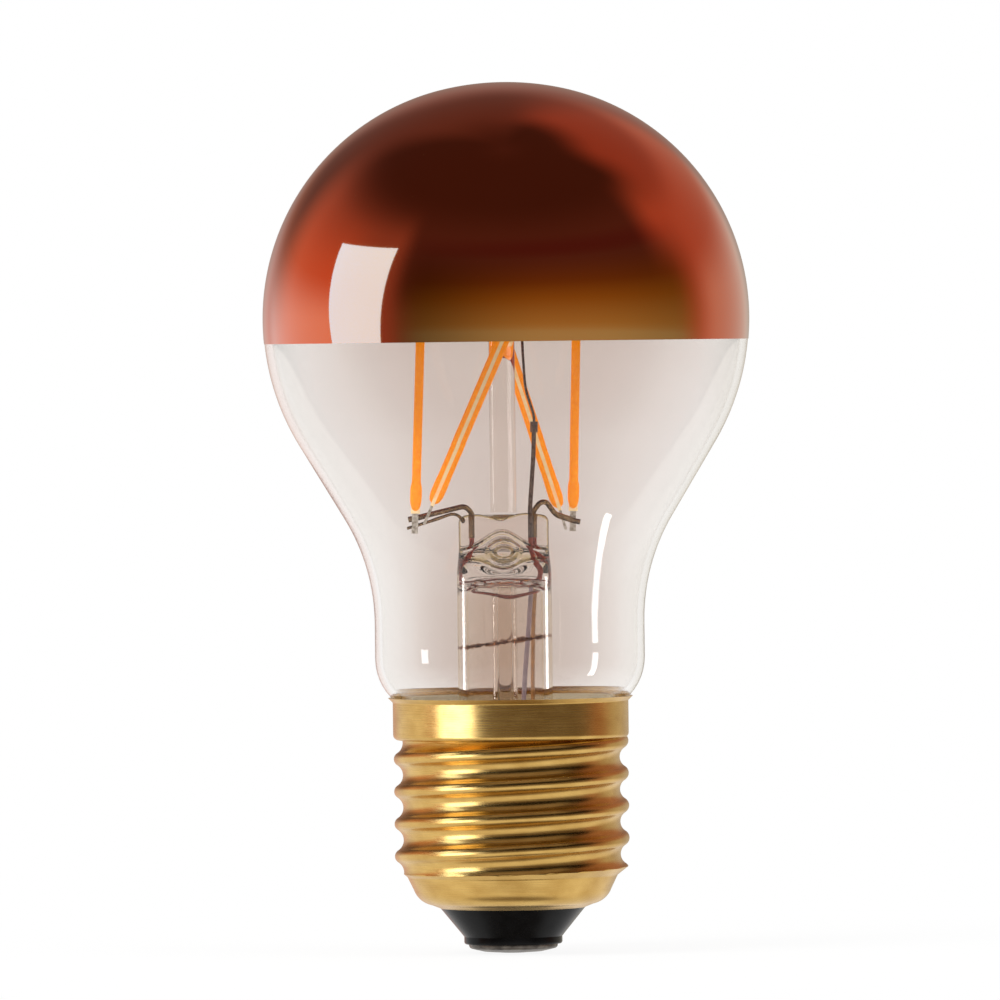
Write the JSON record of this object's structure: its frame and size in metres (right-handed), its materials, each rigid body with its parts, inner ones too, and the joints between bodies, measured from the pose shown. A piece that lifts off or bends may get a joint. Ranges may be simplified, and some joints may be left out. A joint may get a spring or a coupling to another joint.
{
  "type": "mirror crown lamp bulb",
  "caption": "Clear glass filament-style lamp bulb with a copper-coloured mirrored crown, orange light strips on a glass stem, and a rolled brass screw cap.",
  "frame": {"origin": "lowest point of the centre contact, on the cap's axis", "axes": "+Z from the contact up the bulb to the crown, +X to the right and -Y to the front as in the reference view"},
  "size_m": [0.0546, 0.0546, 0.0975],
  "materials": {
    "bulb_glass": "clear, gloss, faint warm grey tint",
    "stem_glass": "clear, gloss",
    "copper_mirror": "polished copper-coloured mirror coating",
    "brass": "rolled brass, satin to bright",
    "black_insulator": "gloss black, moulded",
    "contact_metal": "satin nickel",
    "cement": "matt basing cement",
    "strip_coat": "satin orange silicone with phosphor",
    "strip_carrier": "sintered ceramic, warm white",
    "nickel_wire": "drawn wire, satin",
    "copper_clad_wire": "copper-clad wire, oxidised red",
    "grey_lead": "thin grey insulation",
    "brown_lead": "thin brown insulation",
    "board_laminate": "green glass-fibre laminate",
    "black_resin": "moulded epoxy",
    "ferrite": "sintered ferrite, sleeved",
    "capacitor_sleeve": "shrunk sleeve",
    "resistor_coat": "lacquer on ceramic"
  },
  "bodies": {
    "root": {"glass_envelope": "bulb_glass", "crown_mirror": "copper_mirror", "cap_shell": "brass", "cap_insulator": "black_insulator", "centre_contact": "contact_metal", "basing_cement": "cement", "strip_foot_tabs": "nickel_wire", "strip_head_tabs": "nickel_wire", "left_arm_wire": "nickel_wire", "left_arm_strand": "nickel_wire", "right_arm_wire": "nickel_wire", "riser_lower_wire": "nickel_wire", "riser_upper_wire": "nickel_wire", "riser_weld": "nickel_wire", "top_head_wire": "nickel_wire", "seal_wire_left": "copper_clad_wire", "seal_wire_riser": "copper_clad_wire", "seal_wire_right": "copper_clad_wire", "stem_jumper": "nickel_wire", "lead_wire_riser": "grey_lead", "lead_wire_arms": "brown_lead", "stem_flare": "stem_glass", "exhaust_tube": "stem_glass", "centre_rod": "stem_glass", "driver_board": "board_laminate", "bridge_rectifier": "black_resin", "driver_chip": "black_resin", "choke": "ferrite", "smoothing_capacitor": "capacitor_sleeve", "fuse_resistor": "resistor_coat", "shell_wire": "nickel_wire", "strip_carrier_left_upright": "strip_carrier", "strip_coat_left_upright": "strip_coat", "strip_carrier_left_slanted": "strip_carrier", "strip_coat_left_slanted": "strip_coat", "strip_carrier_right_slanted": "strip_carrier", "strip_coat_right_slanted": "strip_coat", "strip_carrier_right_upright": "strip_carrier", "strip_coat_right_upright": "strip_coat"}
  },
  "joints": []
}
